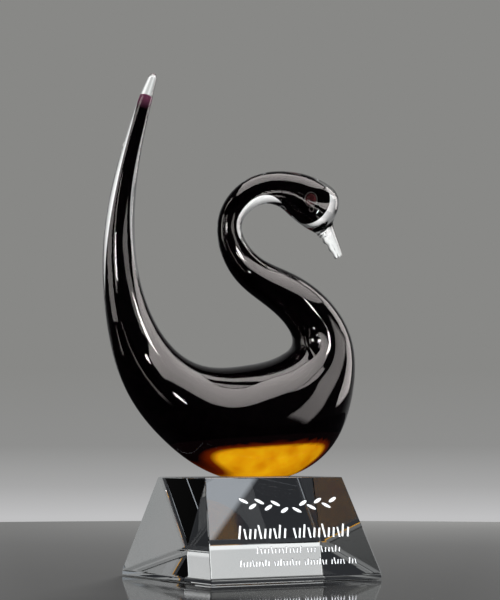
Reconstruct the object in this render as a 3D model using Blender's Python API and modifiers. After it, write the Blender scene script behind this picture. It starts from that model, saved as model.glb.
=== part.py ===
"""Glass swan award: a hot-worked cased glass swan on a sloped crystal block.

Units are metres, +Z is up. The origin is the centre of the block's underside. The swan
stands in the plane y = 0 and faces +X, and the block's front faces -Y.
"""

import math
from typing import NamedTuple

import bmesh
import bpy
import numpy
from mathutils import Matrix, Vector

# Crystal block: a foot slab whose top face rises and narrows to the flat top
FOOT_WIDTH = 0.124
FOOT_DEPTH = 0.116
FOOT_BAND = 0.0032
TOP_WIDTH = 0.101
TOP_DEPTH = 0.061
BLOCK_HEIGHT = 0.0635
ARRIS = 0.0006

# Glass swan, from its ground seat to the tip of its tail
SWAN_HEIGHT = 0.2545
SEAT_GAP = 0.0003
MOUTH_DEPTH = 0.0006
MOUTH_ANGLE = math.radians(112)
MOUTH_WIDTH = math.radians(13)

# Fineness of the swan's surface
RINGS_PER_SPAN = 5
RING_SIDES = 32
CAP_STEPS = 4
SMOOTH_ANGLE = math.radians(32)

# How far the seat's cutter reaches past the glass
CUTTER_MARGIN = 0.02

COLLECTION_NAME = "glass_swan_award"
CUTTER_COLLECTION_NAME = "cutters"


class Station(NamedTuple):
    """One section of the swan, in shares of its height, on a rib across the profile.

    x is the rib's middle forward of the block's centre and z its height over the seat.
    half is half the rib's length, lean its angle up from +X in degrees, towards the back
    of the bird, and depth the section's thickness in Y as a share of the rib's length.
    """

    x: float
    z: float
    half: float
    lean: float
    depth: float


# The swan's pose and fullness, from the tip of the tail through the body to the bill
TAIL = (
    Station(-0.285, 0.981, 0.012, -20, 1.00),
    Station(-0.295, 0.954, 0.015, -20, 1.00),
    Station(-0.328, 0.849, 0.022, -15, 1.00),
    Station(-0.373, 0.594, 0.038, -2, 1.00),
    Station(-0.352, 0.407, 0.053, 15, 1.00),
)
BODY = (
    Station(-0.275, 0.253, 0.082, 40, 0.94),
    Station(-0.186, 0.182, 0.107, 61, 0.87),
    Station(-0.058, 0.139, 0.141, 79, 0.82),
    Station(0.056, 0.140, 0.150, 97, 0.80),
    Station(0.159, 0.187, 0.137, 120, 0.80),
    Station(0.205, 0.261, 0.107, 148, 0.82),
    Station(0.217, 0.348, 0.080, 184, 0.88),
)
NECK = (
    Station(0.159, 0.432, 0.064, 218, 0.94),
    Station(0.075, 0.482, 0.053, 234, 0.98),
    Station(-0.018, 0.536, 0.041, 222, 1.00),
    Station(-0.060, 0.637, 0.032, 182, 1.00),
    Station(-0.036, 0.686, 0.034, 142, 1.00),
    Station(0.044, 0.734, 0.040, 103, 0.97),
)
HEAD = (
    Station(0.114, 0.733, 0.050, 80, 0.93),
    Station(0.183, 0.708, 0.064, 60, 0.88),
    Station(0.228, 0.666, 0.048, 48, 0.83),
)
BILL = (
    Station(0.226, 0.646, 0.031, 40, 0.82),
    Station(0.235, 0.626, 0.023, 35, 0.84),
    Station(0.269, 0.571, 0.013, 30, 0.80),
)
STATIONS = TAIL + BODY + NECK + HEAD + BILL

# How far each end swells past its last rib, as a share of the rib's half length
TAIL_CAP = 1.7
BILL_CAP = 0.3


def clear_scene():
    """Remove every object and collection of the open file."""
    for item in list(bpy.data.objects):
        bpy.data.objects.remove(item, do_unlink=True)
    for collection in list(bpy.data.collections):
        bpy.data.collections.remove(collection)


def new_collection(name):
    """Make a collection in the scene and return it."""
    collection = bpy.data.collections.new(name)
    bpy.context.scene.collection.children.link(collection)
    return collection


def new_material(name, color, roughness, transmission):
    """Return a Principled material of a glass with its refractive index."""
    material = bpy.data.materials.new(name)
    material.use_nodes = True
    shader = material.node_tree.nodes["Principled BSDF"]
    shader.inputs["Base Color"].default_value = (*color, 1.0)
    shader.inputs["Roughness"].default_value = roughness
    shader.inputs["Metallic"].default_value = 0.0
    shader.inputs["IOR"].default_value = 1.5
    shader.inputs["Transmission Weight"].default_value = transmission
    return material


def new_object(name, mesh_builder, collection, material=None):
    """Turn a filled bmesh into an object of the collection and return it."""
    mesh = bpy.data.meshes.new(name)
    mesh_builder.to_mesh(mesh)
    mesh_builder.free()
    if material is not None:
        mesh.materials.append(material)
    item = bpy.data.objects.new(name, mesh)
    collection.objects.link(item)
    return item


def add_box(mesh_builder, size, middle):
    """Add a box of the given size about its middle point."""
    matrix = Matrix.Translation(middle) @ Matrix.Diagonal((*size, 1.0))
    bmesh.ops.create_cube(mesh_builder, size=1.0, matrix=matrix)


def build_base(collection, material):
    """Model the crystal block and return its object."""
    block = bmesh.new()
    add_box(block, (FOOT_WIDTH, FOOT_DEPTH, FOOT_BAND), (0.0, 0.0, FOOT_BAND / 2))
    foot_top = max(block.faces, key=lambda face: face.calc_center_median().z)
    raised = bmesh.ops.extrude_face_region(block, geom=[foot_top])
    corners = [part for part in raised["geom"] if isinstance(part, bmesh.types.BMVert)]
    bmesh.ops.scale(block, verts=corners, vec=(TOP_WIDTH / FOOT_WIDTH, TOP_DEPTH / FOOT_DEPTH, 1.0))
    bmesh.ops.translate(block, verts=corners, vec=(0.0, 0.0, BLOCK_HEIGHT - FOOT_BAND))
    bmesh.ops.delete(block, geom=[foot_top], context="FACES_ONLY")
    bmesh.ops.recalc_face_normals(block, faces=block.faces)
    base = new_object("base", block, collection, material)
    arris = base.modifiers.new("Polished arris", "BEVEL")
    arris.width = ARRIS
    arris.segments = 1
    arris.limit_method = "NONE"
    return base


def smooth_curve(knots, values, samples):
    """Return the natural cubic spline through the values at the knots, at the samples."""
    gaps = numpy.diff(knots)
    slopes = numpy.diff(values, axis=0) / gaps[:, None]
    system = numpy.eye(len(knots))
    target = numpy.zeros_like(values)
    for i in range(1, len(knots) - 1):
        system[i, i - 1:i + 2] = (gaps[i - 1], 2 * (gaps[i - 1] + gaps[i]), gaps[i])
        target[i] = 6 * (slopes[i] - slopes[i - 1])
    bends = numpy.linalg.solve(system, target)
    span = numpy.clip(numpy.searchsorted(knots, samples, side="right") - 1, 0, len(gaps) - 1)
    gap = gaps[span][:, None]
    ahead = (samples - knots[span])[:, None] / gap
    behind = 1.0 - ahead
    line = behind * values[span] + ahead * values[span + 1]
    bow = (behind ** 3 - behind) * bends[span] + (ahead ** 3 - ahead) * bends[span + 1]
    return line + bow * gap ** 2 / 6


def swan_sections():
    """Return the swan's sections, several to each span between two stations.

    Each row holds x, z and half in metres, the lean in radians, the depth share and the
    section's place along the bird, counted in stations.
    """
    stations = numpy.array(STATIONS, dtype=float)
    places = numpy.arange(len(stations), dtype=float)
    steps = numpy.diff(stations[:, :2], axis=0)
    knots = numpy.concatenate(([0.0], numpy.cumsum(numpy.linalg.norm(steps, axis=1))))
    fine_places = numpy.linspace(0.0, places[-1], (len(stations) - 1) * RINGS_PER_SPAN + 1)
    samples = numpy.interp(fine_places, places, knots)
    rows = smooth_curve(knots, stations, samples)
    rows[:, :3] *= SWAN_HEIGHT
    rows[:, 1] += BLOCK_HEIGHT + SEAT_GAP
    rows[:, 3] = numpy.radians(rows[:, 3])
    return numpy.column_stack((rows, fine_places))


def mouth_share(place):
    """Return how deep the mouth line is at a place, from 0 on the head to 1 on the bill."""
    first_bill_place = len(STATIONS) - len(BILL)
    return min(1.0, max(0.0, place - first_bill_place + 0.5))


def section_points(middle, half, lean, depth, mouth):
    """Return one closed section: an ellipse on its rib with a mouth line in both sides."""
    rib = Vector((math.cos(lean), 0.0, math.sin(lean)))
    side = Vector((0.0, 1.0, 0.0))
    points = []
    for i in range(RING_SIDES):
        turn = 2 * math.pi * i / RING_SIDES
        from_mouth = math.acos(math.cos(turn)) - MOUTH_ANGLE
        groove = mouth * MOUTH_DEPTH * math.exp(-(from_mouth / MOUTH_WIDTH) ** 2)
        reach = half - groove
        points.append(middle + rib * reach * math.cos(turn) + side * reach * depth * math.sin(turn))
    return points


def cap_rings(row, outward, swell):
    """Return the rings that round off an end, and the point that closes it."""
    x, z, half, lean, depth, place = row
    middle = Vector((x, 0.0, z))
    rings = []
    for step in range(1, CAP_STEPS):
        angle = math.pi / 2 * step / CAP_STEPS
        shift = outward * half * swell * math.sin(angle)
        mouth = mouth_share(place) * math.cos(angle)
        rings.append(section_points(middle + shift, half * math.cos(angle), lean, depth, mouth))
    return rings, middle + outward * half * swell


def along_bird(lean):
    """Return the direction across a rib, from the tail towards the bill."""
    return Vector((math.sin(lean), 0.0, -math.cos(lean)))


def loft(mesh_builder, rings, start_point, end_point):
    """Skin the rings in order and close both ends with a fan about a point."""
    loops = [[mesh_builder.verts.new(point) for point in ring] for ring in rings]
    for near, far in zip(loops, loops[1:]):
        for i in range(RING_SIDES):
            j = (i + 1) % RING_SIDES
            mesh_builder.faces.new((near[i], near[j], far[j], far[i]))
    for loop, point in ((loops[0], start_point), (loops[-1], end_point)):
        tip = mesh_builder.verts.new(point)
        for i in range(RING_SIDES):
            mesh_builder.faces.new((loop[i], loop[(i + 1) % RING_SIDES], tip))
    bmesh.ops.recalc_face_normals(mesh_builder, faces=mesh_builder.faces)


def build_seat_cutter(collection):
    """Model the box that grinds the swan's underside flat, and return its object."""
    reach = max(abs(station.x) + station.half for station in STATIONS) * SWAN_HEIGHT
    width = 2 * (reach + CUTTER_MARGIN)
    height = BLOCK_HEIGHT + SEAT_GAP
    cutter_box = bmesh.new()
    add_box(cutter_box, (width, width, height), (0.0, 0.0, height / 2))
    cutter = new_object("seat_cutter", cutter_box, collection)
    cutter.hide_render = True
    cutter.display_type = "WIRE"
    return cutter


def build_swan(collection, material, cutter):
    """Model the swan's outer glass from tail to bill and return its object."""
    rows = swan_sections()
    rings = []
    for x, z, half, lean, depth, place in rows:
        rings.append(section_points(Vector((x, 0.0, z)), half, lean, depth, mouth_share(place)))
    tail_rings, tail_point = cap_rings(rows[0], -along_bird(rows[0][3]), TAIL_CAP)
    bill_rings, bill_point = cap_rings(rows[-1], along_bird(rows[-1][3]), BILL_CAP)
    glass = bmesh.new()
    loft(glass, tail_rings[::-1] + rings + bill_rings, tail_point, bill_point)
    swan = new_object("swan", glass, collection, material)
    swan.data.shade_smooth()
    swan.data.set_sharp_from_angle(angle=SMOOTH_ANGLE)
    seat = swan.modifiers.new("Ground seat", "BOOLEAN")
    seat.operation = "DIFFERENCE"
    seat.solver = "EXACT"
    seat.object = cutter
    return swan


def main():
    """Build the award."""
    clear_scene()
    parts = new_collection(COLLECTION_NAME)
    cutters = new_collection(CUTTER_COLLECTION_NAME)
    crystal = new_material("Clear optical crystal", (0.93, 0.95, 0.95), 0.02, 1.0)
    cased_glass = new_material("Dark aubergine cased glass", (0.030, 0.010, 0.018), 0.04, 0.0)
    build_base(parts, crystal)
    build_swan(parts, cased_glass, build_seat_cutter(cutters))


main()
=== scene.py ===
"""Dresses the glass swan award: cased glass, sealed colours, cut crystal, frosted strokes.

Lengths are metres in the part's own frame: +Z up, the swan in the plane y = 0 and facing
+X, the block's front towards -Y, and the origin under the middle of the block.
"""

import logging
import math
from collections.abc import Callable
from dataclasses import dataclass, field
from enum import Enum

import bmesh
import bpy
import numpy as np
from bpy.types import Material, Node, NodeSocket, NodeTree, Object
from mathutils import Matrix, Vector


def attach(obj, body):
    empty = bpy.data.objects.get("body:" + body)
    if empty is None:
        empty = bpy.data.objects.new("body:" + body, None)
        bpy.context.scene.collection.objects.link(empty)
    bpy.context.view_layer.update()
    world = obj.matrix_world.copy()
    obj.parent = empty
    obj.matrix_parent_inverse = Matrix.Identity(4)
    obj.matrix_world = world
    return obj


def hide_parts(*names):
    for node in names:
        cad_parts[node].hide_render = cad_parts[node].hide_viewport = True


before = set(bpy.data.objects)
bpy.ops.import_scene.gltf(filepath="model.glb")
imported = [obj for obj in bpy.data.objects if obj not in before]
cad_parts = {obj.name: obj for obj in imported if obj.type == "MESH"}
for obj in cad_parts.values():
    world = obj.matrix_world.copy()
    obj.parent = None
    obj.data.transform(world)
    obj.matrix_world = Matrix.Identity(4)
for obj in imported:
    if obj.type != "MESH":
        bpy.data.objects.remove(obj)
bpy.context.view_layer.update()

LOG = logging.getLogger("glass_swan_award")
MM = 0.001

Pair = tuple[float, float]
Point = tuple[float, float, float]
Color = tuple[float, float, float, float]
Stops = tuple[tuple[float, str | float | Color], ...]
Levels = tuple[Pair, ...]
Settings = dict[str | int, object]
Links = dict[str | int, Node | NodeSocket]
Skin = tuple[list[tuple[float, ...]] | np.ndarray, list[tuple[int, ...]]]


def linear_color(code: str) -> Color:
    """Turn an sRGB hex colour into a linear one.

    Args:
        code: Six hex digits after a hash sign.

    Returns:
        Linear red, green and blue, and an alpha of one.
    """
    channels = [int(code[i:i + 2], 16) / 255 for i in (1, 3, 5)]
    linear = [c / 12.92 if c <= 0.04045 else ((c + 0.055) / 1.055) ** 2.4 for c in channels]
    return (linear[0], linear[1], linear[2], 1.0)


def set_stops(ramp: Node, stops: Stops) -> None:
    """Give a colour ramp its stops.

    Args:
        ramp: A Color Ramp node.
        stops: Places from 0 to 1 in rising order, each with a hex colour, a grey level or
            a linear colour.
    """
    elements = ramp.color_ramp.elements
    while len(elements) < len(stops):
        elements.new(1.0)
    for element, (place, tone) in zip(elements, stops):
        if isinstance(tone, str):
            tone = linear_color(tone)
        elif isinstance(tone, float):
            tone = (tone, tone, tone, 1.0)
        element.position = place
        element.color = tone


def wire(tree: NodeTree, node: Node, settings: Settings, links: Links) -> None:
    """Set a node's sockets and properties, and join it to others.

    Args:
        tree: Node tree that holds the node.
        node: The node.
        settings: Values by the name or number of an input, or by the name of a property.
        links: What feeds each input, by its name or number: a socket, or a node's first one.
    """
    for name, value in settings.items():
        if name == "stops":
            set_stops(node, value)
        elif isinstance(name, int) or name in node.inputs:
            node.inputs[name].default_value = value
        else:
            setattr(node, name, value)
    for name, source in links.items():
        socket = source.outputs[0] if isinstance(source, Node) else source
        tree.links.new(socket, node.inputs[name])


def add_node(
    tree: NodeTree, kind: str, settings: Settings | None = None, links: Links | None = None
) -> Node:
    """Add a node with its settings and its links.

    Args:
        tree: Node tree that gets the node.
        kind: The node's type, without the words that all shader nodes' types start with.
        settings: Its settings, as for wire.
        links: Its links, as for wire.

    Returns:
        The new node.
    """
    node = tree.nodes.new("ShaderNode" + kind)
    wire(tree, node, settings or {}, links or {})
    return node


def graded(tree: NodeTree, value: NodeSocket, limits: Pair, stops: Stops) -> Node:
    """Add a colour that goes by a value between two limits.

    Args:
        tree: Node tree that gets the nodes.
        value: The value.
        limits: The values at which the ramp starts and ends.
        stops: The ramp's stops.

    Returns:
        The ramp.
    """
    settings = {"From Min": limits[0], "From Max": limits[1]}
    share = add_node(tree, "MapRange", settings, {"Value": value})
    return add_node(tree, "ValToRGB", {"stops": stops}, {"Fac": share})


def mottled(tree: NodeTree, size: float, stops: Stops, noise: Settings) -> tuple[Node, Node]:
    """Add a colour that drifts over the surface.

    Args:
        tree: The material's node tree.
        size: How far one patch reaches, in metres.
        stops: The stops of the ramp that the noise reads.
        noise: The noise's other settings.

    Returns:
        The ramp, and the noise that it reads.
    """
    place = add_node(tree, "TexCoord").outputs["Object"]
    cloud = add_node(tree, "TexNoise", {"Scale": 1 / size, **noise}, {"Vector": place})
    return add_node(tree, "ValToRGB", {"stops": stops}, {"Fac": cloud}), cloud


def new_material(name: str) -> tuple[Material, NodeTree, Node]:
    """Make a material with a Principled shader.

    Args:
        name: The material's common name and how its surface was made.

    Returns:
        The material, its node tree and its shader.
    """
    material = bpy.data.materials.new(name)
    material.use_nodes = True
    tree = material.node_tree
    return material, tree, tree.nodes["Principled BSDF"]


class ToneName(Enum):
    """Point values that the sealed colours' meshes carry for their materials."""

    END_FADE = "end_fade"
    WINDOW_FADE = "window_fade"


@dataclass(frozen=True)
class FirePolishedGlass:
    """Clear soda-lime art glass, shaped hot and fire polished.

    The flame leaves no tool marks, only faint ripples about a finger's width apart, so
    highlights are crisp and bend a little.
    """

    body: str = "#FFFFFF"
    streak: str = "#F7FBF9"
    ior: float = 1.52
    roughness: float = 0.0
    ripple_size: float = 16 * MM
    ripple_height: float = 0.010 * MM

    def material(self) -> Material:
        """Return the casing's material."""
        material, tree, shader = new_material("soda_lime_glass_fire_polished")
        stops = ((0.35, self.body), (0.75, self.streak))
        tint, ripple = mottled(tree, self.ripple_size, stops, {"Detail": 1.0, "Roughness": 0.4})
        height = {"Strength": 1.0, "Distance": self.ripple_height}
        bump = add_node(tree, "Bump", height, {"Height": ripple})
        clear = {"Roughness": self.roughness, "IOR": self.ior, "Transmission Weight": 1.0}
        wire(tree, shader, clear, {"Base Color": tint, "Normal": bump})
        return material


@dataclass(frozen=True)
class AubergineGlass:
    """Near-black aubergine colour rod, cased hot in clear glass.

    It is so dense that it reads black, and only its thin ends show the mauve. It touches
    the casing all over, so it has no gloss of its own.
    """

    deep: str = "#060305"
    streak: str = "#0E070B"
    thin: str = "#B86A90"
    streak_size: float = 9 * MM

    def material(self) -> Material:
        """Return the dark core's material."""
        material, tree, shader = new_material("aubergine_glass_cased")
        stops = ((0.3, self.deep), (0.7, self.streak))
        dark, _ = mottled(tree, self.streak_size, stops, {"Detail": 3.0, "Distortion": 0.6})
        fade = add_node(tree, "Attribute", {"attribute_name": ToneName.END_FADE.value})
        mauve = {"data_type": "RGBA", 7: linear_color(self.thin)}
        blend = add_node(tree, "Mix", mauve, {"Factor": fade.outputs["Fac"], 6: dark})
        matt = {"Roughness": 1.0, "Specular IOR Level": 0.0}
        wire(tree, shader, matt, {"Base Color": blend.outputs[2]})
        return material


@dataclass(frozen=True)
class AmberGlass:
    """Golden amber glass gathered under the dark colour, seen through the clear casing.

    It turns red-brown where the dark colour overlies it. Its glow is painted light: an emission
    in its own colour that stands in for the light reaching it through the block from behind.
    """

    dark: str = "#080304"
    rim: str = "#6A2002"
    gold: str = "#D28A05"
    bright: str = "#F2B210"
    seed_size: float = 14 * MM
    # Strength of the painted glow that stands in for light coming through the block
    glow: float = 0.72

    def material(self) -> Material:
        """Return the amber's material."""
        material, tree, shader = new_material("amber_glass_cased")
        stops = ((0.35, self.gold), (0.7, self.bright))
        gold, _ = mottled(tree, self.seed_size, stops, {"Detail": 2.0})
        tone = add_node(tree, "Attribute", {"attribute_name": ToneName.WINDOW_FADE.value})
        fade = {"Fac": tone.outputs["Fac"]}
        edge = add_node(tree, "ValToRGB", {"stops": ((0.45, 0.0), (0.85, 1.0))}, fade)
        rim = add_node(tree, "ValToRGB", {"stops": ((0.05, self.dark), (0.5, self.rim))}, fade)
        blend = add_node(tree, "Mix", {"data_type": "RGBA"}, {"Factor": edge, 6: rim, 7: gold})
        color = blend.outputs[2]
        # The emission paints the backlit glow into the amber's own colour
        matt = {"Emission Strength": self.glow, "Roughness": 1.0, "Specular IOR Level": 0.0}
        wire(tree, shader, matt, {"Base Color": color, "Emission Color": color})
        return material


@dataclass(frozen=True)
class GarnetGlass:
    """Dark garnet glass bead, fused into the side of the head."""

    deep: str = "#3A070C"
    light: str = "#8E3A40"
    swirl_size: float = 1.5 * MM

    def material(self) -> Material:
        """Return the eye's material."""
        material, tree, shader = new_material("garnet_glass_fused")
        stops = ((0.35, self.deep), (0.75, self.light))
        tone, _ = mottled(tree, self.swirl_size, stops, {"Detail": 2.0, "Distortion": 1.0})
        wire(tree, shader, {"Roughness": 0.6, "Specular IOR Level": 0.2}, {"Base Color": tone})
        return material


@dataclass(frozen=True)
class SmokeGlass:
    """Pale smoke-grey glass thread, laid round the eye and fused in."""

    dark: str = "#4A4242"
    light: str = "#A79C9A"
    grain: float = 1.2 * MM

    def material(self) -> Material:
        """Return the eye ring's material."""
        material, tree, shader = new_material("smoke_glass_thread_fused")
        stops = ((0.35, self.dark), (0.7, self.light))
        tone, _ = mottled(tree, self.grain, stops, {"Detail": 2.0})
        wire(tree, shader, {"Roughness": 0.5}, {"Base Color": tone})
        return material


@dataclass(frozen=True)
class OpticalCrystal:
    """Clear lead crystal, cut, ground and polished flat.

    Its faces are mirror smooth, so what lies behind shows sharp and broken at each edge.
    """

    body: str = "#FCFEFE"
    faint: str = "#F6FAFA"
    ior: float = 1.57
    roughness: float = 0.0
    cloud_size: float = 40 * MM

    def material(self) -> Material:
        """Return the block's material."""
        material, tree, shader = new_material("lead_crystal_polished")
        stops = ((0.4, self.body), (0.6, self.faint))
        tint, _ = mottled(tree, self.cloud_size, stops, {"Detail": 0.0})
        clear = {"Roughness": self.roughness, "IOR": self.ior, "Transmission Weight": 1.0}
        wire(tree, shader, clear, {"Base Color": tint})
        return material


@dataclass(frozen=True)
class SandblastedFrost:
    """Sandblasted crystal: the grit leaves a fine white tooth that scatters all light.

    The grit is far finer than a pixel, so the tooth is drawn at a third of a millimetre.
    """

    white: str = "#F4F6F8"
    grey: str = "#C9CED3"
    grit: float = 0.35 * MM

    def material(self) -> Material:
        """Return the strokes' material."""
        material, tree, shader = new_material("crystal_sandblasted")
        stops = ((0.3, self.grey), (0.6, self.white))
        tone, tooth = mottled(tree, self.grit, stops, {"Detail": 2.0, "Roughness": 0.6})
        depth = {"Strength": 0.6, "Distance": self.grit / 6}
        bump = add_node(tree, "Bump", depth, {"Height": tooth})
        wire(tree, shader, {"Roughness": 0.85}, {"Base Color": tone, "Normal": bump})
        return material


def new_piece(name: str, form: Skin | bmesh.types.BMesh, material: Material) -> Object:
    """Make a mesh object in the scene.

    Args:
        name: The object's name.
        form: Points with faces as tuples of point numbers, or a bmesh, which is freed.
        material: What the piece is made of.

    Returns:
        The new object.
    """
    mesh = bpy.data.meshes.new(name)
    if isinstance(form, bmesh.types.BMesh):
        form.to_mesh(mesh)
        form.free()
    else:
        mesh.from_pydata([tuple(point) for point in form[0]], [], form[1])
        mesh.validate()
    mesh.materials.append(material)
    piece = bpy.data.objects.new(name, mesh)
    bpy.context.scene.collection.objects.link(piece)
    return piece


def hide_from(piece: Object, *rays: str) -> None:
    """Hide an object from some kinds of ray, named as its visibility settings are."""
    for ray in rays:
        setattr(piece, f"visible_{ray}", False)


def smooth_curve(knots: np.ndarray, values: np.ndarray, samples: np.ndarray) -> np.ndarray:
    """Read the natural cubic spline through a row of values.

    Args:
        knots: Rising places of the values.
        values: One row of values for each knot.
        samples: Places at which the curve is read.

    Returns:
        One row of values for each sample.
    """
    gaps = np.diff(knots)
    slopes = np.diff(values, axis=0) / gaps[:, None]
    system = np.eye(len(knots))
    target = np.zeros_like(values)
    for i in range(1, len(knots) - 1):
        system[i, i - 1:i + 2] = (gaps[i - 1], 2 * (gaps[i - 1] + gaps[i]), gaps[i])
        target[i] = 6 * (slopes[i] - slopes[i - 1])
    bends = np.linalg.solve(system, target)
    span = np.clip(np.searchsorted(knots, samples, side="right") - 1, 0, len(gaps) - 1)
    gap = gaps[span][:, None]
    ahead = (samples - knots[span])[:, None] / gap
    behind = 1.0 - ahead
    line = behind * values[span] + ahead * values[span + 1]
    bow = (behind**3 - behind) * bends[span] + (ahead**3 - ahead) * bends[span + 1]
    return line + bow * gap**2 / 6


@dataclass(frozen=True)
class Station:
    """One section of the swan, in shares of its height, on a rib across the profile.

    x is the rib's middle forward of the block's centre and z its height over the seat.
    half is half the rib's length, lean its angle up from +X in degrees, towards the back
    of the bird, and depth the section's thickness in Y as a share of the rib's length.
    """

    x: float
    z: float
    half: float
    lean: float
    depth: float


@dataclass(frozen=True)
class CoreShare:
    """How the dark colour fills the casing at a place along the bird.

    place counts stations from the tail's tip, fill is the core's radius as a share of the
    casing's, and shift moves it towards the back of the bird by that share of the radius.
    """

    place: float
    fill: float
    shift: float


STATIONS = tuple(
    Station(*row)
    for row in (
        (-0.285, 0.981, 0.012, -20, 1.00),
        (-0.295, 0.954, 0.015, -20, 1.00),
        (-0.328, 0.849, 0.022, -15, 1.00),
        (-0.373, 0.594, 0.038, -2, 1.00),
        (-0.352, 0.407, 0.053, 15, 1.00),
        (-0.275, 0.253, 0.082, 40, 0.94),
        (-0.186, 0.182, 0.107, 61, 0.87),
        (-0.058, 0.139, 0.141, 79, 0.82),
        (0.056, 0.140, 0.150, 97, 0.80),
        (0.159, 0.187, 0.137, 120, 0.80),
        (0.205, 0.261, 0.107, 148, 0.82),
        (0.217, 0.348, 0.080, 184, 0.88),
        (0.159, 0.432, 0.064, 218, 0.94),
        (0.075, 0.482, 0.053, 234, 0.98),
        (-0.018, 0.536, 0.041, 222, 1.00),
        (-0.060, 0.637, 0.032, 182, 1.00),
        (-0.036, 0.686, 0.034, 142, 1.00),
        (0.044, 0.734, 0.040, 103, 0.97),
        (0.114, 0.733, 0.050, 80, 0.93),
        (0.183, 0.708, 0.064, 60, 0.88),
        (0.228, 0.666, 0.048, 48, 0.83),
        (0.226, 0.646, 0.031, 40, 0.82),
        (0.235, 0.626, 0.023, 35, 0.84),
        (0.269, 0.571, 0.013, 30, 0.80),
    )
)
BILL_PLACE = 21

CORE_SHARES = tuple(
    CoreShare(*row)
    for row in (
        (1.14, 0.66, 0.00),
        (1.5, 0.53, 0.00),
        (2.0, 0.45, 0.00),
        (2.6, 0.40, 0.00),
        (3.0, 0.46, 0.00),
        (4.0, 0.64, 0.00),
        (5.0, 0.76, 0.00),
        (7.0, 0.82, 0.00),
        (9.0, 0.82, 0.00),
        (11.0, 0.78, 0.00),
        (13.0, 0.74, 0.02),
        (14.0, 0.66, 0.08),
        (15.0, 0.52, 0.16),
        (16.0, 0.48, 0.18),
        (17.0, 0.43, 0.15),
        (18.0, 0.54, 0.05),
        (18.6, 0.59, 0.00),
        (19.1, 0.61, -0.03),
        (19.2, 0.60, -0.05),
    )
)


@dataclass(frozen=True)
class Sections:
    """Closed sections along the bird, ready to be skinned.

    middle holds x and z, and half, lean, depth and place one value for each section.
    """

    middle: np.ndarray
    half: np.ndarray
    lean: np.ndarray
    depth: np.ndarray
    place: np.ndarray

    def rib(self) -> np.ndarray:
        """Return each section's direction towards the back of the bird, as x and z."""
        return np.column_stack((np.cos(self.lean), np.sin(self.lean)))

    def along(self) -> np.ndarray:
        """Return each section's direction towards the bill, as x and z."""
        return np.column_stack((np.sin(self.lean), -np.cos(self.lean)))


@dataclass(frozen=True)
class SwanForm:
    """The bird's pose and fullness, worked out from its height and the block's height."""

    height: float = 254.5 * MM
    seat: float = 63.8 * MM

    def sections(self, places: np.ndarray) -> Sections:
        """Work out the casing's sections.

        Args:
            places: Places along the bird, counted in stations from the tail's tip.

        Returns:
            The sections at those places, in metres.
        """
        rows = np.array([(s.x, s.z, s.half, s.lean, s.depth) for s in STATIONS])
        steps = np.linalg.norm(np.diff(rows[:, :2], axis=0), axis=1)
        knots = np.concatenate(([0.0], np.cumsum(steps)))
        samples = np.interp(places, np.arange(len(rows)), knots)
        fine = smooth_curve(knots, rows, samples)
        middle = fine[:, :2] * self.height + np.array((0.0, self.seat))
        return Sections(
            middle, fine[:, 2] * self.height, np.radians(fine[:, 3]), fine[:, 4], places
        )

    def core_sections(self, places: np.ndarray) -> Sections:
        """Work out the dark core's sections.

        Args:
            places: Places along the bird, counted in stations from the tail's tip.

        Returns:
            The core's sections at those places, in metres.
        """
        casing = self.sections(places)
        knots = np.array([share.place for share in CORE_SHARES])
        shares = np.array([(share.fill, share.shift) for share in CORE_SHARES])
        fill, shift = smooth_curve(knots, shares, places).T
        middle = casing.middle + casing.rib() * (shift * casing.half)[:, None]
        return Sections(middle, casing.half * fill, casing.lean, casing.depth, places)


def skin(rings: np.ndarray, start: np.ndarray, end: np.ndarray) -> Skin:
    """Skin a row of rings and close both ends with a fan.

    Args:
        rings: Points by ring and by turn.
        start: Point that closes the first ring.
        end: Point that closes the last ring.

    Returns:
        The points and the faces of the closed surface.
    """
    count, sides = rings.shape[:2]
    points = np.vstack((rings.reshape(-1, 3), start[None], end[None]))
    faces = []
    for ring in range(count - 1):
        for i in range(sides):
            j = (i + 1) % sides
            near, far = ring * sides, (ring + 1) * sides
            faces.append((near + i, near + j, far + j, far + i))
    first, last = count * sides, count * sides + 1
    for i in range(sides):
        j = (i + 1) % sides
        faces.append((first, j, i))
        faces.append((last, (count - 1) * sides + i, (count - 1) * sides + j))
    return points, faces


def close_mesh(piece: Object, plane: tuple[Vector, Vector] | None = None) -> None:
    """Cut a closed mesh flat where a plane is given, and turn its faces outward.

    Args:
        piece: The object whose mesh is worked on.
        plane: A point on the plane, and the direction of what is cut away.
    """
    builder = bmesh.new()
    builder.from_mesh(piece.data)
    if plane is not None:
        cut = bmesh.ops.bisect_plane(
            builder,
            geom=builder.verts[:] + builder.edges[:] + builder.faces[:],
            plane_co=plane[0],
            plane_no=plane[1],
            clear_outer=True,
        )
        rim = [part for part in cut["geom_cut"] if isinstance(part, bmesh.types.BMEdge)]
        bmesh.ops.holes_fill(builder, edges=rim)
    bmesh.ops.recalc_face_normals(builder, faces=builder.faces)
    builder.to_mesh(piece.data)
    builder.free()


def set_tones(piece: Object, name: ToneName, tone: Callable[[Vector], float]) -> None:
    """Give each point of a mesh a value from 0 to 1 for its material.

    Args:
        piece: The object whose mesh gets the values.
        name: What the values are called.
        tone: Works out the value at a point, which is then held between 0 and 1.
    """
    values = piece.data.attributes.new(name.value, "FLOAT", "POINT").data
    for vertex in piece.data.vertices:
        values[vertex.index].value = min(1.0, max(0.0, tone(vertex.co)))


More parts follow.
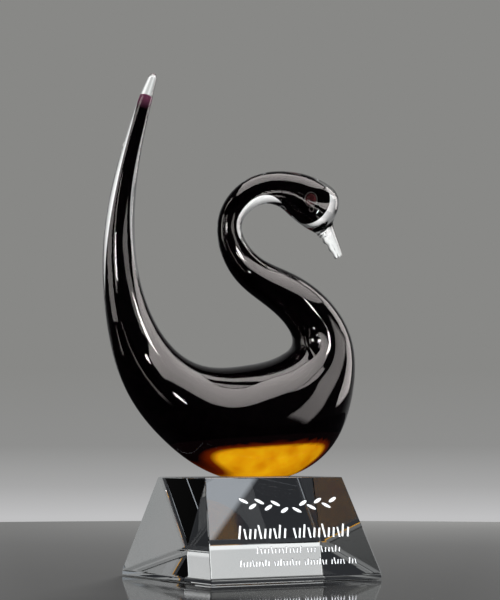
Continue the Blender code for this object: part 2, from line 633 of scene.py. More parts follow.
@dataclass
class GlassSwan:
    """The swan: its clear casing, dark core, amber and fused eyes.

    Sizes are metres; angles are radians round a section from the back of the bird.
    """

    form: SwanForm = field(default_factory=SwanForm)
    casing_inset: float = 0.1 * MM
    casing_rings_per_span: int = 12
    casing_sides: int = 96
    core_rings: int = 280
    core_sides: int = 64
    cap_steps: int = 8
    casing_caps: Pair = (1.65, 0.3)
    core_caps: Pair = (0.35, 0.62)
    thin_end: float = 8 * MM
    thin_fade: float = 7 * MM
    mouth_depth: float = 1.1 * MM
    mouth_angle: float = math.radians(112)
    mouth_width: float = math.radians(11)
    pinch_depth: float = 0.34
    pinch_count: float = 2.5
    pinch_sides: float = 0.2
    seat_angle: float = math.radians(35)
    window_top: float = 82.2 * MM
    window_slope: float = 0.06
    window_left: Pair = (-43 * MM, -2.2)
    window_right: Pair = (44 * MM, 1.3)
    window_round: float = 11 * MM
    window_band: float = 4 * MM
    amber_swell: float = 1.03
    eye_place: Pair = (40 * MM, 244.2 * MM)
    eye_side: float = 9.6 * MM
    eye_radius: float = 3.6 * MM
    eye_thickness: float = 2.4 * MM
    eye_steps: tuple[int, int] = (40, 24)
    ring_loops: tuple[Point, ...] = (
        (4.4 * MM, 0.0, 0.0),
        (1.6 * MM, 0.8 * MM, -6.2 * MM),
    )
    ring_thread: float = 0.32 * MM
    ring_steps: int = 64
    ring_sides: int = 12

    def section_rings(self, sections: Sections, sides: int, relief: bool) -> np.ndarray:
        """Place the points of each section.

        Args:
            sections: The sections to draw.
            sides: Points in each ring.
            relief: Whether the bill gets its mouth line and pinch marks.

        Returns:
            Points by ring and by turn.
        """
        turn = np.linspace(0.0, 2 * math.pi, sides, endpoint=False)
        reach = np.repeat(sections.half[:, None], sides, axis=1)
        if relief:
            reach = reach - self.casing_inset
            reach = reach - self.mouth(sections.place, turn)
            reach = reach * (1.0 - self.pinches(sections.place, turn))
        across = reach * np.cos(turn)
        rings = np.empty((len(sections.half), sides, 3))
        rib = sections.rib()
        rings[..., 0] = sections.middle[:, :1] + rib[:, :1] * across
        rings[..., 2] = sections.middle[:, 1:] + rib[:, 1:] * across
        rings[..., 1] = reach * sections.depth[:, None] * np.sin(turn)
        return rings

    def mouth(self, place: np.ndarray, turn: np.ndarray) -> np.ndarray:
        """Work out the mouth line, which starts half a station above the bill.

        Args:
            place: Each section's place along the bird.
            turn: Each point's angle round its section.

        Returns:
            The line's depth by section and by turn.
        """
        share = np.clip(place - BILL_PLACE + 0.5, 0.0, 1.0)[:, None]
        from_mouth = np.arccos(np.cos(turn)) - self.mouth_angle
        return share * self.mouth_depth * np.exp(-((from_mouth / self.mouth_width) ** 2))

    def pinches(self, place: np.ndarray, turn: np.ndarray) -> np.ndarray:
        """Work out how far the jacks pinched the lower bill.

        Args:
            place: Each section's place along the bird.
            turn: Each point's angle round its section.

        Returns:
            The pinches' depth by section and by turn, as a share of the radius.
        """
        along = place[:, None] - BILL_PLACE
        share = np.clip(2 * along, 0.0, 1.0)
        under = np.clip(-np.cos(turn) - self.pinch_sides, 0.0, 1.0) / (1.0 - self.pinch_sides)
        wave = 0.5 - 0.5 * np.cos(2 * math.pi * self.pinch_count * along)
        return self.pinch_depth * share * under * wave

    def capped_rings(
        self, sections: Sections, rings: np.ndarray, swells: Pair
    ) -> tuple[np.ndarray, np.ndarray, np.ndarray]:
        """Round off both ends of a row of rings.

        Args:
            sections: The sections that the rings stand on.
            rings: Points by ring and by turn.
            swells: How far each end swells past its last ring, in shares of its radius.

        Returns:
            The rings with their caps, and the points that close the first and the last.
        """
        caps = []
        tips = []
        for end, swell, sign in ((0, swells[0], -1.0), (-1, swells[1], 1.0)):
            middle = np.array((sections.middle[end, 0], 0.0, sections.middle[end, 1]))
            ahead = np.array((sections.along()[end, 0], 0.0, sections.along()[end, 1])) * sign
            steps = []
            for step in range(1, self.cap_steps):
                angle = math.pi / 2 * step / self.cap_steps
                lift = ahead * sections.half[end] * swell * math.sin(angle)
                steps.append((rings[end] - middle) * math.cos(angle) + middle + lift)
            caps.append(np.array(steps))
            tips.append(middle + ahead * sections.half[end] * swell)
        return np.concatenate((caps[0][::-1], rings, caps[1])), tips[0], tips[1]

    def build_casing(self) -> Object:
        """Make the clear outer glass, ground flat where it sits on the block.

        Returns:
            The casing, which takes the place of the swan's solid.
        """
        last = len(STATIONS) - 1
        places = np.linspace(0.0, last, last * self.casing_rings_per_span + 1)
        sections = self.form.sections(places)
        rings = self.section_rings(sections, self.casing_sides, relief=True)
        form = skin(*self.capped_rings(sections, rings, self.casing_caps))
        casing = new_piece("swan_casing", form, FirePolishedGlass().material())
        close_mesh(casing, (Vector((0.0, 0.0, self.form.seat)), Vector((0.0, 0.0, -1.0))))
        casing.data.shade_smooth()
        casing.data.set_sharp_from_angle(angle=self.seat_angle)
        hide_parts("swan")
        return casing

    def core_mesh(self, name: str, material: Material, swell: float) -> Object:
        """Make the form that the sealed colour fills.

        Args:
            name: The object's name.
            material: What it is made of.
            swell: How much fuller it is than the core's own sections.

        Returns:
            A closed object inside the casing.
        """
        places = np.linspace(CORE_SHARES[0].place, CORE_SHARES[-1].place, self.core_rings)
        sections = self.form.core_sections(places)
        sections = Sections(
            sections.middle, sections.half * swell, sections.lean, sections.depth, places
        )
        rings = self.section_rings(sections, self.core_sides, relief=False)
        return new_piece(name, skin(*self.capped_rings(sections, rings, self.core_caps)), material)

    def build_core(self) -> Object:
        """Make the dark core from tail to head, with the fade of its thin end.

        Returns:
            The core.
        """
        core = self.core_mesh("swan_core", AubergineGlass().material(), 1.0)
        close_mesh(core)
        tail_end = self.form.core_sections(np.array((CORE_SHARES[0].place,))).middle[0, 1]
        fade_start = tail_end - self.thin_end
        set_tones(core, ToneName.END_FADE, lambda point: (point.z - fade_start) / self.thin_fade)
        core.data.shade_smooth()
        return core

    def window_tone(self, x: float, z: float) -> float:
        """Work out how open the amber's window is at a point.

        Args:
            x: The point's place along the block.
            z: Its height.

        Returns:
            1 or more inside the window, falling to 0 across the band round it.
        """
        below_top = self.window_top - z
        left, left_slant = self.window_left
        right, right_slant = self.window_right
        beyond = (
            self.window_slope * -x - below_top,
            (left - left_slant * below_top - x) / math.hypot(1.0, left_slant),
            (x - right + right_slant * below_top) / math.hypot(1.0, right_slant),
        )
        rounded = sum(max(0.0, distance + self.window_round) ** 3 for distance in beyond)
        return 1.0 - (rounded ** (1 / 3) - self.window_round) / self.window_band

    def build_amber(self) -> Object:
        """Make the amber glass low in the breast, cut off just above its window.

        Returns:
            The amber, which lies close round the core.
        """
        amber = self.core_mesh("swan_amber", AmberGlass().material(), self.amber_swell)
        ceiling = Vector((0.0, 0.0, self.window_top + 2 * self.window_band))
        close_mesh(amber, (ceiling, Vector((-self.window_slope, 0.0, 1.0))))
        set_tones(amber, ToneName.WINDOW_FADE, lambda point: self.window_tone(point.x, point.z))
        amber.data.shade_smooth()
        return amber

    def build_eye(self, side: int, name: str, material: Material) -> Object:
        """Make one fused eye bead.

        Args:
            side: -1 for the side that faces the block's front, 1 for the other.
            name: The object's name.
            material: What it is made of.

        Returns:
            The bead, a round cushion standing on the core.
        """
        bead = bmesh.new()
        round_steps, tall_steps = self.eye_steps
        bmesh.ops.create_uvsphere(
            bead, u_segments=round_steps, v_segments=tall_steps, radius=1.0
        )
        scale = Matrix.Diagonal((self.eye_radius, self.eye_radius, self.eye_thickness, 1.0))
        turn = Matrix.Rotation(math.pi / 2, 4, "X")
        place = Matrix.Translation((self.eye_place[0], side * self.eye_side, self.eye_place[1]))
        bmesh.ops.transform(bead, matrix=place @ turn @ scale, verts=bead.verts)
        eye = new_piece(name, bead, material)
        eye.data.shade_smooth()
        return eye

    def build_eye_ring(self, side: int, name: str, material: Material) -> Object:
        """Make the pale thread round one eye, and the small loop that it ends in.

        Args:
            side: -1 for the side that faces the block's front, 1 for the other.
            name: The object's name.
            material: What it is made of.

        Returns:
            The closed loops of thread.
        """
        points = []
        faces = []
        steps, sides = self.ring_steps, self.ring_sides
        for radius, ahead, rise in self.ring_loops:
            first = len(points)
            for i in range(steps):
                angle = 2 * math.pi * i / steps
                for j in range(sides):
                    tube = 2 * math.pi * j / sides
                    reach = radius + self.ring_thread * math.cos(tube)
                    out = self.eye_side + self.ring_thread * (1.0 + math.sin(tube))
                    x = self.eye_place[0] + ahead + reach * math.cos(angle)
                    z = self.eye_place[1] + rise + reach * math.sin(angle)
                    points.append((x, side * out, z))
                    near, far = first + i * sides, first + (i + 1) % steps * sides
                    k = (j + 1) % sides
                    faces.append((near + j, far + j, far + k, near + k))
        ring = new_piece(name, (points, faces), material)
        close_mesh(ring)
        ring.data.shade_smooth()
        return ring

    def build(self) -> list[Object]:
        """Build every piece of the swan and return them."""
        pieces = [self.build_casing(), self.build_core(), self.build_amber()]
        garnet = GarnetGlass().material()
        smoke = SmokeGlass().material()
        for side, label in ((-1, "near"), (1, "far")):
            pieces.append(self.build_eye(side, f"swan_eye_{label}", garnet))
            pieces.append(self.build_eye_ring(side, f"swan_eye_ring_{label}", smoke))
        return pieces


class StrokeKind(Enum):
    """The shapes of the frosted strokes, as a lean from upright in degrees."""

    UPRIGHT = 0.0
    SLANTED = 18.0


@dataclass(frozen=True)
class StrokeRow:
    """One row of frosted strokes across the block's front.

    middle and rise place the row's middle on the face, rise counted up the slope from the
    foot band. tall is the tallest strokes' height, thick their width, pitch their spacing,
    and words the number of strokes in each group of the row.
    """

    middle: float
    rise: float
    tall: float
    thick: float
    pitch: float
    words: tuple[int, ...]


@dataclass
class CrystalBlock:
    """The cut crystal block, and the frosted strokes let into its front face."""

    foot: Pair = (124 * MM, 116 * MM)
    foot_band: float = 3.2 * MM
    top: Pair = (101 * MM, 61 * MM)
    height: float = 63.5 * MM
    arris: float = 0.6 * MM
    arris_steps: int = 2
    recess: float = 0.45 * MM
    frost_skin: float = 0.12 * MM
    frost_gap: float = 0.01 * MM
    frost_share: float = 0.98
    rows: tuple[StrokeRow, ...] = (
        StrokeRow(5 * MM, 30 * MM, 9.4 * MM, 1.4 * MM, 3.6 * MM, (10, 12)),
        StrokeRow(5 * MM, 17.8 * MM, 4.6 * MM, 0.9 * MM, 2.6 * MM, (13, 3, 6)),
        StrokeRow(3 * MM, 9.6 * MM, 4.6 * MM, 0.9 * MM, 2.2 * MM, (10, 9, 8, 5, 3)),
    )
    tall_every: int = 4
    short_share: float = 0.74
    spray_middle: Pair = (6 * MM, 49 * MM)
    spray_length: float = 34 * MM
    leaf_length: float = 7.0 * MM
    leaf_width: float = 2.4 * MM
    leaves: int = 6
    first_leaf: float = 0.8
    leaf_sides: int = 20
    leaf_tilt: float = math.radians(28)
    leaf_stagger: float = 1.8 * MM
    spray_droop: float = 4 * MM

    def face_matrix(self) -> Matrix:
        """Work out where the front face lies.

        Returns:
            The matrix from the face's own across, up and out to the part's frame.
        """
        foot = Vector((0.0, -self.foot[1] / 2, self.foot_band))
        head = Vector((0.0, -self.top[1] / 2, self.height))
        across = Vector((1.0, 0.0, 0.0))
        upward = (head - foot).normalized()
        matrix = Matrix((across, upward, across.cross(upward))).transposed().to_4x4()
        matrix.translation = foot
        return matrix

    def build_block(self, material: Material) -> Object:
        """Make the block with its arrises polished off, before the strokes are cut.

        Args:
            material: What it is made of.

        Returns:
            The block.
        """
        block = bmesh.new()
        middle = Matrix.Translation((0.0, 0.0, self.foot_band / 2))
        size = Matrix.Diagonal((*self.foot, self.foot_band, 1.0))
        bmesh.ops.create_cube(block, size=1.0, matrix=middle @ size)
        foot_top = max(block.faces, key=lambda face: face.calc_center_median().z)
        raised = bmesh.ops.extrude_face_region(block, geom=[foot_top])
        corners = [part for part in raised["geom"] if isinstance(part, bmesh.types.BMVert)]
        shrink = (self.top[0] / self.foot[0], self.top[1] / self.foot[1], 1.0)
        bmesh.ops.scale(block, verts=corners, vec=shrink)
        bmesh.ops.translate(block, verts=corners, vec=(0.0, 0.0, self.height - self.foot_band))
        bmesh.ops.delete(block, geom=[foot_top], context="FACES_ONLY")
        bmesh.ops.recalc_face_normals(block, faces=block.faces)
        bmesh.ops.bevel(
            block,
            geom=block.edges[:],
            offset=self.arris,
            offset_type="OFFSET",
            segments=self.arris_steps,
            profile=0.5,
            affect="EDGES",
        )
        return new_piece("crystal_block", block, material)

    def stroke_places(self) -> list[Matrix]:
        """Lay out the strokes.

        Returns:
            One matrix for each stroke, from a unit box to its place on the face.
        """
        places = []
        kinds = (StrokeKind.SLANTED, StrokeKind.UPRIGHT, StrokeKind.SLANTED)
        for row in self.rows:
            spaces = len(row.words) - 1
            whole = (sum(row.words) - 1 + spaces) * row.pitch
            across = row.middle - whole / 2
            count = 0
            for word in row.words:
                for _ in range(word):
                    kind = kinds[count % len(kinds)]
                    tall = row.tall * (self.short_share if count % self.tall_every else 1.0)
                    drop = (row.tall - tall) / 2
                    lean = Matrix.Rotation(-math.radians(kind.value), 4, "Z")
                    size = Matrix.Diagonal((row.thick, tall, 2 * self.recess, 1.0))
                    spot = Matrix.Translation((across, row.rise - drop, 0.0))
                    places.append(spot @ lean @ size)
                    across += row.pitch
                    count += 1
                across += row.pitch
        return places

    def leaf_places(self) -> list[Matrix]:
        """Lay out the spray's leaves.

        Returns:
            One matrix for each leaf, from a unit disc to its place on the face.
        """
        places = []
        size = Matrix.Diagonal((self.leaf_length / 2, self.leaf_width / 2, self.recess, 1.0))
        for side in (-1, 1):
            for i in range(self.leaves):
                share = (i + self.first_leaf) / self.leaves
                turn = 1 if i % 2 else -1
                across = self.spray_middle[0] + side * share * self.spray_length
                rise = self.spray_middle[1] - self.spray_droop * (1 - share) ** 2
                spot = Matrix.Translation((across, rise + turn * self.leaf_stagger, 0.0))
                tilt = Matrix.Rotation(side * turn * self.leaf_tilt, 4, "Z")
                places.append(spot @ tilt @ size)
        return places

    def build_strokes(self, name: str, material: Material, lower: Matrix, fit: Matrix) -> Object:
        """Make a closed body at the place of every stroke and leaf.

        Args:
            name: The object's name.
            material: What it is made of.
            lower: How the bodies are moved from the face.
            fit: How each body is resized.

        Returns:
            The bodies, as one object.
        """
        bodies = bmesh.new()
        face = self.face_matrix() @ lower
        for place in self.stroke_places():
            bmesh.ops.create_cube(bodies, size=1.0, matrix=face @ place @ fit)
        for place in self.leaf_places():
            bmesh.ops.create_cone(
                bodies,
                cap_ends=True,
                segments=self.leaf_sides,
                radius1=1.0,
                radius2=1.0,
                depth=2.0,
                matrix=face @ place @ fit,
            )
        return new_piece(name, bodies, material)

    def cut_strokes(self, block: Object) -> None:
        """Cut every stroke and leaf into the block's front.

        Args:
            block: The block.
        """
        cutter = self.build_strokes(
            "stroke_cutter", block.data.materials[0], Matrix.Identity(4), Matrix.Identity(4)
        )
        cut = block.modifiers.new("Frosted strokes", "BOOLEAN")
        cut.operation = "DIFFERENCE"
        cut.solver = "EXACT"
        cut.use_self = True
        cut.object = cutter
        evaluated = block.evaluated_get(bpy.context.evaluated_depsgraph_get())
        block.modifiers.clear()
        block.data = bpy.data.meshes.new_from_object(evaluated)
        bpy.data.objects.remove(cutter, do_unlink=True)

    def build_frost(self) -> Object:
        """Make the frosted skin on the floor of every stroke and leaf.

        Returns:
            The skins, as one object.
        """
        depth = self.recess - self.frost_skin / 2 - self.frost_gap
        thin = (self.frost_share, self.frost_share, self.frost_skin / (2 * self.recess), 1.0)
        return self.build_strokes(
            "frosted_strokes",
            SandblastedFrost().material(),
            Matrix.Translation((0.0, 0.0, -depth)),
            Matrix.Diagonal(thin),
        )

    def build(self) -> list[Object]:
        """Build the block and its frosted strokes and return them."""
        block = self.build_block(OpticalCrystal().material())
        self.cut_strokes(block)
        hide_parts("base")
        pieces = [block, self.build_frost()]
        return pieces


class PanelFace(Enum):
    """How a panel stands: facing the object, along the view, overhead, or lying flat."""

    INWARD = "inward"
    SIDEWAYS = "sideways"
    DOWN = "down"
    UP = "up"


@dataclass(frozen=True)
class Softbox:
    """A studio light panel, placed as the camera sees the stage.

    place is how far right of the object, how far behind it and how high the panel's
    middle stands, and size how wide and tall it is. radiance is its brightness, and lower
    the share of it at the panel's lower or nearer edge. edge is the share of each half
    that fades out, roll the panel's turn in its own plane and lean how far its top leans
    over the object, both in degrees. aim is the point that an inward panel faces. Only the
    side towards the object is lit.
    """

    name: str
    place: Point
    size: Pair
    radiance: float
    face: PanelFace = PanelFace.INWARD
    lower: float = 1.0
    edge: float = 0.1
    roll: float = 0.0
    lean: float = 0.0
    aim: Point = (0.0, 0.0, 0.17)


SOFTBOXES = (
    Softbox("overhead", (0.55, -0.05, 1.5), (2.1, 1.34), 4.2, PanelFace.DOWN, 0.9, 0.06),
    # Unlit black sheets that only reflections in the swan see paint shade into them: the head's
    # dark reflection over the body (black_flag), a dark block top round the seat (black_card) and
    # dark below the head (head_card).
    Softbox("black_flag", (0.045, -0.026, 0.25), (0.19, 0.022), 0.0, PanelFace.DOWN),
    Softbox("black_card", (0.0, 0.0, 0.0636), (0.0999, 0.0599), 0.0, PanelFace.UP, roll=-31.0),
    Softbox("head_card", (0.088, -0.02, 0.228), (0.06, 0.084), 0.0, PanelFace.UP),
    Softbox("floor_strip", (-0.41, -0.605, 0.001), (0.04, 1.12), 1.3, PanelFace.UP, 2.8, roll=45.0),
    Softbox("floor_strip_left", (-0.62, -0.21, 0.001), (0.045, 0.45), 2.4, PanelFace.UP, roll=76.0),
    Softbox(
        "right_card",
        (0.082, -0.15, 0.178),
        (0.37, 0.054),
        5.5,
        PanelFace.SIDEWAYS,
        lower=0.6,
        roll=16.0,
        lean=42.0,
    ),
    Softbox("right_upper", (0.1, -0.22, 0.25), (0.18, 0.12), 2.4, PanelFace.SIDEWAYS, lean=65.0),
    Softbox(
        "right_slip",
        (0.10, -0.016, 0.138),
        (0.038, 0.106),
        2.8,
        PanelFace.SIDEWAYS,
        lower=0.7,
        edge=0.25,
        roll=-40.0,
    ),
    Softbox("right_rear", (1.3, 0.6, 0.7), (0.75, 1.3), 4.0),
    Softbox("left_softbox", (-0.74, -0.30, 0.5), (0.5, 1.35), 2.6),
    Softbox("left_strip", (-0.57, -0.82, 0.45), (0.14, 0.6), 3.2),
    Softbox("left_front", (-0.9, -2.0, 0.55), (0.34, 0.5), 25.0),
    Softbox("lamp_tail", (0.045, -0.125, 0.197), (0.028, 0.026), 40.0),
    Softbox("lamp_body", (0.055, -0.219, 0.073), (0.022, 0.014), 40.0),
    Softbox("lamp_low_left", (0.031, -0.342, 0.126), (0.034, 0.02), 40.0),
    Softbox(
        "lamp_breast", (0.0964, -0.0425, 0.1776), (0.03, 0.022), 40.0, aim=(0.1624, 0.0575, 0.1656)
    ),
)

# Colours from below the horizon up, and brightness by the angle from one direction
BACKDROP = (
    (0.0, "#C6C6C7"), (0.27, "#C0C0C1"), (0.42, "#A6A6A6"), (0.62, "#8E8E8D"), (1.0, "#888886")
)
THROUGH_GLASS = (
    (180.0, 0.1), (120.0, 0.25), (95.0, 0.33), (73.0, 0.31), (58.0, 0.44), (50.0, 0.58),
    (40.0, 0.85), (30.0, 1.05), (14.0, 1.0), (9.0, 0.75), (2.0, 0.6),
)
SIDE_FLAG = ((180.0, 1.0), (45.0, 1.0), (30.0, 0.62), (14.0, 0.4), (8.0, 0.3), (5.0, 0.03))
IN_GLOSS = ((100.0, 0.01), (60.0, 0.02), (35.0, 0.2), (13.0, 0.26), (8.0, 0.12))


@dataclass
class Studio:
    """The floor, the light panels, the backdrop and the camera."""

    camera_azimuth: float = -31.0
    camera_distance: float = 1.288
    camera_height: float = 0.0809
    camera_tilt: float = 4.28
    lens: float = 120.0
    floor_radius: float = 1.02
    floor_sides: int = 160
    floor_drop: float = 0.4 * MM
    floor_patch: float = 1000 / 3 * MM
    shade_radius: float = 0.16
    shade_sides: int = 80
    shade_drop: float = 0.2 * MM
    floor_color: str = "#4A4A49"
    deeper_share: float = 0.94
    floor_roughness: float = 0.05
    # The floor's colour as reflections see it: a painted dark reflection
    gloss_color: str = "#0A0A0B"
    # The block's painted shadow on the floor, and the painted pool of light on its front-left side
    shade_color: str = "#303134"
    lit_color: str = "#9EA2A8"
    lit_toward: Point = (math.sqrt(0.5), math.sqrt(0.5), 0.0)
    lit_edge: float = 27 * MM
    lit_blur: float = 2 * MM
    cloth_color: str = "#FFF7F5"
    key_size: float = 0.5
    key_place: Point = (0.4, -1.0, 1.5)
    top_power: float = 6.0
    stroke_power: float = 60.0
    floor_light_place: Point = (0.25, 1.3, 0.6)
    floor_power: float = 105.0
    horizon: Pair = (-0.06, 0.04)
    flag_toward: Pair = (-53.0, 20.0)

    def direction(self, bearing: float, elevation: float) -> Vector:
        """Work out a direction on the stage.

        Args:
            bearing: Degrees from straight behind the object, rising to the right.
            elevation: Degrees up from level.

        Returns:
            The unit vector in the part's frame.
        """
        turn = math.radians(self.camera_azimuth + 180.0 - bearing)
        lift = math.radians(elevation)
        level = math.cos(lift)
        return Vector((math.sin(turn) * level, -math.cos(turn) * level, math.sin(lift)))

    def spot(self, place: Point) -> Vector:
        """Return the point so far right of the object, behind it and above the floor."""
        right, ahead = self.direction(90.0, 0.0), self.direction(0.0, 0.0)
        return right * place[0] + ahead * place[1] + Vector((0.0, 0.0, place[2]))

    def build_camera(self) -> None:
        """Make the camera at the photograph's viewing angle."""
        camera = bpy.data.objects.new("camera", bpy.data.cameras.new("camera"))
        bpy.context.scene.collection.objects.link(camera)
        back = self.direction(180.0, 0.0)
        camera.location = back * self.camera_distance + Vector((0.0, 0.0, self.camera_height))
        look = self.direction(0.0, self.camera_tilt)
        camera.rotation_euler = look.to_track_quat("-Z", "Y").to_euler()
        camera.data.lens = self.lens
        bpy.context.scene.camera = camera

    def disc(self, name: str, radius: float, sides: int, drop: float, material: Material) -> Object:
        """Lay a round sheet under the object.

        Args:
            name: The sheet's name.
            radius: Its radius.
            sides: How many sides its outline has.
            drop: How far it lies below the block's underside.
            material: What it is made of.

        Returns:
            The sheet.
        """
        sheet = bmesh.new()
        bmesh.ops.create_circle(sheet, cap_ends=True, segments=sides, radius=radius)
        bmesh.ops.translate(sheet, verts=sheet.verts, vec=(0.0, 0.0, -drop))
        return new_piece(name, sheet, material)

    def build_floor(self) -> Object:
        """Make the plain pale floor, which reflections show dark.

        Returns:
            The floor.
        """
        material, tree, shader = new_material("satin_laminate")
        base = linear_color(self.floor_color)
        deeper = tuple(channel * self.deeper_share for channel in base[:3]) + (1.0,)
        tone, _ = mottled(tree, self.floor_patch, ((0.3, base), (0.7, deeper)), {})
        wire(tree, shader, {"Roughness": self.floor_roughness}, {"Base Color": tone})
        # Painted reflection: rays reflected off the glass see the floor near black instead of its
        # lit colour
        dark = add_node(tree, "BsdfDiffuse", {"Color": linear_color(self.gloss_color)})
        reflected = add_node(tree, "LightPath").outputs["Is Reflection Ray"]
        pick = add_node(tree, "MixShader", {}, {"Fac": reflected, 1: shader, 2: dark})
        wire(tree, tree.nodes["Material Output"], {}, {"Surface": pick})
        return self.disc("floor", self.floor_radius, self.floor_sides, self.floor_drop, material)

    def glow_material(self, name: str) -> tuple[Material, NodeTree, Node, Node]:
        """Make a material that glows towards some rays and lets the others pass.

        Args:
            name: The material's name.

        Returns:
            The material, its node tree, the emission, and the mix that lets rays pass.
        """
        material, tree, shader = new_material(name)
        tree.nodes.remove(shader)
        glow = add_node(tree, "Emission", {"Strength": 1.0})
        clear = add_node(tree, "BsdfTransparent")
        pick = add_node(tree, "MixShader", {}, {1: glow, 2: clear})
        wire(tree, tree.nodes["Material Output"], {}, {"Surface": pick})
        return material, tree, glow, pick

    def build_shade(self) -> Object:
        """Make a painted shadow of the block on the floor under it, with a painted pool of light on
        its front-left side, which only rays refracted through the crystal see.

        Returns:
            The painted shadow.
        """
        material, tree, glow, pick = self.glow_material("floor_in_shade")
        place = add_node(tree, "TexCoord").outputs["Object"]
        facing = {"operation": "DOT_PRODUCT", 1: self.lit_toward}
        across = add_node(tree, "VectorMath", facing, {0: place})
        limits = (self.lit_edge - self.lit_blur, self.lit_edge + self.lit_blur)
        # Painted pool of light towards the front left, painted shadow beyond lit_edge
        stops = ((0.0, self.lit_color), (1.0, self.shade_color))
        tone = graded(tree, across.outputs["Value"], limits, stops)
        wire(tree, glow, {}, {"Color": tone})
        seen = add_node(tree, "LightPath").outputs["Is Transmission Ray"]
        unseen = add_node(tree, "Math", {"operation": "SUBTRACT", 0: 1.0}, {1: seen})
        wire(tree, pick, {}, {"Fac": unseen})
        shade = self.disc(
            "floor_shade", self.shade_radius, self.shade_sides, self.shade_drop, material
        )
        hide_from(shade, "camera", "diffuse", "shadow")
        return shade

    def panel_material(self, box: Softbox) -> Material:
        """Make the lit cloth of one panel, which refracted rays pass through.

        Args:
            box: The panel.

        Returns:
            An emitting material with soft edges.
        """
        material, tree, glow, pick = self.glow_material(box.name + "_diffusion_cloth")
        place = add_node(tree, "TexCoord").outputs["Object"]
        split = add_node(tree, "SeparateXYZ", {}, {"Vector": place})
        levels = {"From Min": -0.5, "To Min": box.radiance * box.lower}
        levels |= {"From Max": 0.5, "To Max": box.radiance}
        strength = add_node(tree, "MapRange", levels, {"Value": split.outputs["Y"]})
        fade = {"From Min": 0.5, "From Max": 0.5 * (1.0 - box.edge)}
        fade |= {"interpolation_type": "SMOOTHSTEP"}
        for axis in ("X", "Y"):
            distance = add_node(tree, "Math", {"operation": "ABSOLUTE"}, {0: split.outputs[axis]})
            share = add_node(tree, "MapRange", fade, {"Value": distance})
            strength = add_node(tree, "Math", {"operation": "MULTIPLY"}, {0: strength, 1: share})
        cloth = {"Color": linear_color(self.cloth_color)}
        wire(tree, glow, cloth, {"Strength": strength})
        lit = add_node(tree, "NewGeometry").outputs["Backfacing"]
        unlit = add_node(tree, "Math", {"operation": "SUBTRACT", 0: 1.0}, {1: lit})
        refracted = add_node(tree, "LightPath").outputs["Is Transmission Ray"]
        hidden = add_node(tree, "Math", {"operation": "MAXIMUM"}, {0: unlit, 1: refracted})
        wire(tree, pick, {}, {"Fac": hidden})
        return material

    def build_softbox(self, box: Softbox) -> Object:
        """Make one light panel that only reflections show.

        Args:
            box: The panel's place, size and brightness.

        Returns:
            The panel.
        """
        panel = bmesh.new()
        bmesh.ops.create_grid(panel, x_segments=1, y_segments=1, size=0.5)
        piece = new_piece(box.name, panel, self.panel_material(box))
        right, ahead, up = self.direction(90.0, 0.0), self.direction(0.0, 0.0), Vector((0, 0, 1))
        middle = self.spot(box.place)
        outward = (middle - self.spot(box.aim)).normalized()
        inward = up.cross(outward).normalized()
        across, over = {
            PanelFace.SIDEWAYS: (ahead, up),
            PanelFace.DOWN: (right, ahead),
            PanelFace.UP: (-right, ahead),
            PanelFace.INWARD: (inward, outward.cross(inward)),
        }[box.face]
        roll = Matrix.Rotation(math.radians(box.roll), 3, across.cross(over))
        across, over = roll @ across, roll @ over
        over = Matrix.Rotation(-math.radians(box.lean), 3, across) @ over
        columns = (across * box.size[0], over * box.size[1], across.cross(over))
        matrix = Matrix(columns).transposed().to_4x4()
        matrix.translation = middle
        piece.matrix_world = matrix
        hide_from(piece, "camera", "diffuse", "shadow")
        return piece

    def build_key_light(self, name: str, power: float, place: Point) -> Object:
        """Make a soft light aimed at the foot of the object.

        Args:
            name: The light's name.
            power: Its power in watts.
            place: How far right, behind and above the object it hangs.

        Returns:
            The light, which no reflection or refraction shows.
        """
        data = bpy.data.lights.new(name, "AREA")
        data.shape = "DISK"
        data.size = self.key_size
        data.energy = power
        light = bpy.data.objects.new(name, data)
        bpy.context.scene.collection.objects.link(light)
        light.location = self.spot(place)
        light.rotation_euler = light.location.to_track_quat("Z", "Y").to_euler()
        hide_from(light, "camera", "glossy", "transmission")
        return light

    def surround(self, tree: NodeTree, ray: NodeSocket, toward: Pair, levels: Levels) -> Node:
        """Add a surround whose brightness goes by the angle from one direction.

        Args:
            tree: The world's node tree.
            ray: The direction of the ray.
            toward: Bearing and elevation from which the angle counts.
            levels: Brightness by that angle in degrees, from the widest angle down.

        Returns:
            The ramp of its brightness.
        """
        product = {"operation": "DOT_PRODUCT", 1: self.direction(*toward)}
        facing = add_node(tree, "VectorMath", product, {0: ray})
        stops = tuple(((math.cos(math.radians(angle)) + 1) / 2, level) for angle, level in levels)
        return graded(tree, facing.outputs["Value"], (-1.0, 1.0), stops)

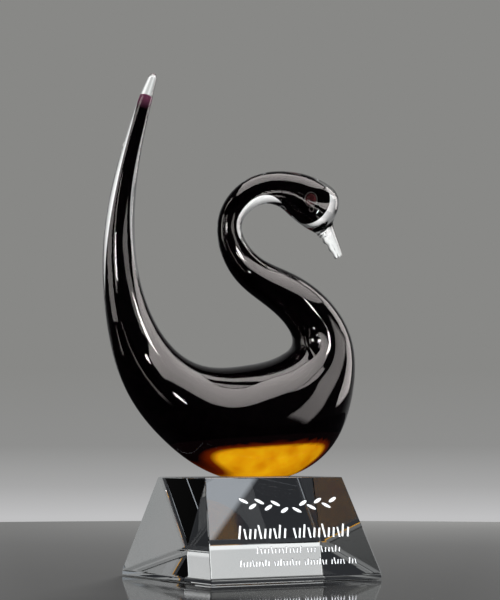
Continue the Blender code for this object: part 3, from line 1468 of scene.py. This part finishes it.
    def build_world(self) -> None:
        """Give the world its grey backdrop, its dark room for gloss and its white surround.

        The backdrop brightens down towards the floor's far edge.
        """
        world = bpy.data.worlds.new("studio")
        bpy.context.scene.world = world
        world.use_nodes = True
        tree = world.node_tree
        tree.nodes.clear()
        ray = add_node(tree, "TexCoord").outputs["Generated"]
        height = add_node(tree, "SeparateXYZ", {}, {"Vector": ray}).outputs["Z"]
        seen = graded(tree, height, self.horizon, BACKDROP)
        behind = self.surround(tree, ray, (0.0, 0.0), THROUGH_GLASS)
        flag = self.surround(tree, ray, self.flag_toward, SIDE_FLAG)
        through = add_node(tree, "VectorMath", {"operation": "MULTIPLY"}, {0: behind, 1: flag})
        gloss = self.surround(tree, ray, (0.0, 0.0), IN_GLOSS)
        path = add_node(tree, "LightPath")
        shader = add_node(tree, "Background", {}, {"Color": through})
        for test, tone in (("Is Reflection Ray", gloss), ("Is Camera Ray", seen)):
            other = add_node(tree, "Background", {}, {"Color": tone})
            choice = {"Fac": path.outputs[test], 1: shader, 2: other}
            shader = add_node(tree, "MixShader", {}, choice)
        add_node(tree, "OutputWorld", {}, {"Surface": shader})

    def light_only(self, lights: list[Object], pieces: list[Object], name: str) -> None:
        """Flag some lights off from all but some pieces.

        Args:
            lights: The lights or panels.
            pieces: The pieces that they light.
            name: What to call the group of pieces.
        """
        group = bpy.data.collections.new(name)
        for piece in pieces:
            group.objects.link(piece)
        for light in lights:
            light.light_linking.receiver_collection = group

    def build(self, swan: list[Object], frost: Object) -> None:
        """Build the camera, world, floor, lights, light panels and the block's painted shadow.

        Args:
            swan: The pieces that the panels' reflections show in.
            frost: The frosted strokes, which a light of their own falls on.
        """
        self.build_camera()
        self.build_world()
        floor = self.build_floor()
        self.build_key_light("top_light", self.top_power, self.key_place)
        stroke_light = self.build_key_light("stroke_light", self.stroke_power, self.key_place)
        self.light_only([stroke_light], [frost], "frost_in_light")
        floor_light = self.build_key_light("floor_light", self.floor_power, self.floor_light_place)
        self.light_only([floor_light], [floor], "floor_in_light")
        panels = [self.build_softbox(box) for box in SOFTBOXES]
        self.light_only(panels, swan, "swan_in_light")
        self.build_shade()
        scene = bpy.context.scene
        scene.view_settings.view_transform = "Standard"
        scene.view_settings.look = "None"


def main() -> None:
    """Build the award and its studio, and report each piece."""
    logging.basicConfig(level=logging.INFO, format="%(name)s: %(message)s")
    swan = GlassSwan().build()
    block, frost = CrystalBlock().build()
    for piece in (*swan, block, frost):
        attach(piece, "root")
        LOG.info("%s has %d faces", piece.name, len(piece.data.polygons))
    Studio().build(swan, frost)


if __name__ == "__main__":
    main()
